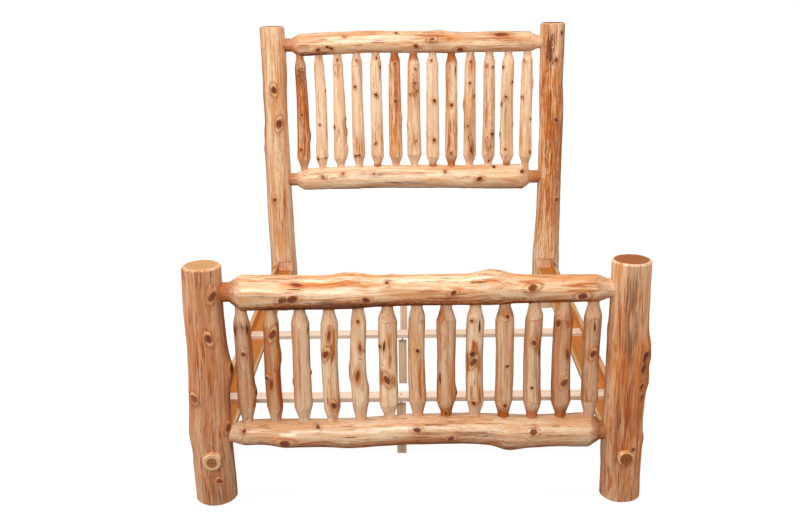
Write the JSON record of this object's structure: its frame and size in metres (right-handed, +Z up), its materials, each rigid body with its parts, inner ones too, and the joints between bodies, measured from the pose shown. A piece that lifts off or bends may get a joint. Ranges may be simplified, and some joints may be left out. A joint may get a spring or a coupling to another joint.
{
  "type": "rustic log bed",
  "caption": "queen-size bed frame of peeled cedar logs: tenoned end frames with log spindles, notched side rails, planed slats on levelling legs",
  "frame": {"origin": "on the floor, at the middle of the box round the bed, midway between the four posts", "axes": "+X to the sleeper's left as seen from the foot (viewer's right), +Y from the foot to the head, +Z up"},
  "size_m": [1.702, 2.374, 1.614],
  "materials": {
    "peeled_cedar_log": "peeled and clear-coated, satin",
    "peeled_cedar_spindle": "peeled and clear-coated, satin",
    "cedar_log_slice": "sanded end grain, clear-coated",
    "planed_pine_slat": "planed, unfinished",
    "planed_pine_leg": "planed, unfinished",
    "zinc_plated_steel": "bright zinc plating"
  },
  "bodies": {
    "bed_frame": {"foot_post_left": "peeled_cedar_log", "foot_post_right": "peeled_cedar_log", "foot_top_rail": "peeled_cedar_log", "foot_bottom_rail": "peeled_cedar_log", "head_post_left": "peeled_cedar_log", "head_post_right": "peeled_cedar_log", "head_top_rail": "peeled_cedar_log", "head_bottom_rail": "peeled_cedar_log", "foot_spindle_01": "peeled_cedar_spindle", "foot_spindle_02": "peeled_cedar_spindle", "foot_spindle_03": "peeled_cedar_spindle", "foot_spindle_04": "peeled_cedar_spindle", "foot_spindle_05": "peeled_cedar_spindle", "foot_spindle_06": "peeled_cedar_spindle", "foot_spindle_07": "peeled_cedar_spindle", "foot_spindle_08": "peeled_cedar_spindle", "foot_spindle_09": "peeled_cedar_spindle", "foot_spindle_10": "peeled_cedar_spindle", "foot_spindle_11": "peeled_cedar_spindle", "foot_spindle_12": "peeled_cedar_spindle", "foot_spindle_13": "peeled_cedar_spindle", "head_spindle_01": "peeled_cedar_spindle", "head_spindle_02": "peeled_cedar_spindle", "head_spindle_03": "peeled_cedar_spindle", "head_spindle_04": "peeled_cedar_spindle", "head_spindle_05": "peeled_cedar_spindle", "head_spindle_06": "peeled_cedar_spindle", "head_spindle_07": "peeled_cedar_spindle", "head_spindle_08": "peeled_cedar_spindle", "head_spindle_09": "peeled_cedar_spindle", "head_spindle_10": "peeled_cedar_spindle", "head_spindle_11": "peeled_cedar_spindle", "head_spindle_12": "peeled_cedar_spindle", "head_spindle_13": "peeled_cedar_spindle", "side_rail_left": "peeled_cedar_log", "side_rail_right": "peeled_cedar_log", "slat_1": "planed_pine_slat", "slat_2": "planed_pine_slat", "slat_3": "planed_pine_slat", "leg_nuts": "zinc_plated_steel", "slat_screws": "zinc_plated_steel", "bed_bolts": "zinc_plated_steel", "bolt_washers": "zinc_plated_steel", "barrel_nuts": "zinc_plated_steel", "bolt_cap_foot_left": "cedar_log_slice", "bolt_cap_foot_right": "cedar_log_slice", "bolt_cap_head_left": "cedar_log_slice", "bolt_cap_head_right": "cedar_log_slice"},
    "levelling_leg_1": {"leg_1": "planed_pine_leg", "leg_screw_1": "zinc_plated_steel"},
    "levelling_leg_2": {"leg_2": "planed_pine_leg", "leg_screw_2": "zinc_plated_steel"},
    "levelling_leg_3": {"leg_3": "planed_pine_leg", "leg_screw_3": "zinc_plated_steel"}
  },
  "joints": [
    {"name": "leg_1_level", "type": "slide", "parent": "bed_frame", "child": "levelling_leg_1", "axis": [0, 0, 1], "range_m": [-0.005, 0.008]},
    {"name": "leg_2_level", "type": "slide", "parent": "bed_frame", "child": "levelling_leg_2", "axis": [0, 0, 1], "range_m": [-0.005, 0.008]},
    {"name": "leg_3_level", "type": "slide", "parent": "bed_frame", "child": "levelling_leg_3", "axis": [0, 0, 1], "range_m": [-0.005, 0.008]}
  ]
}
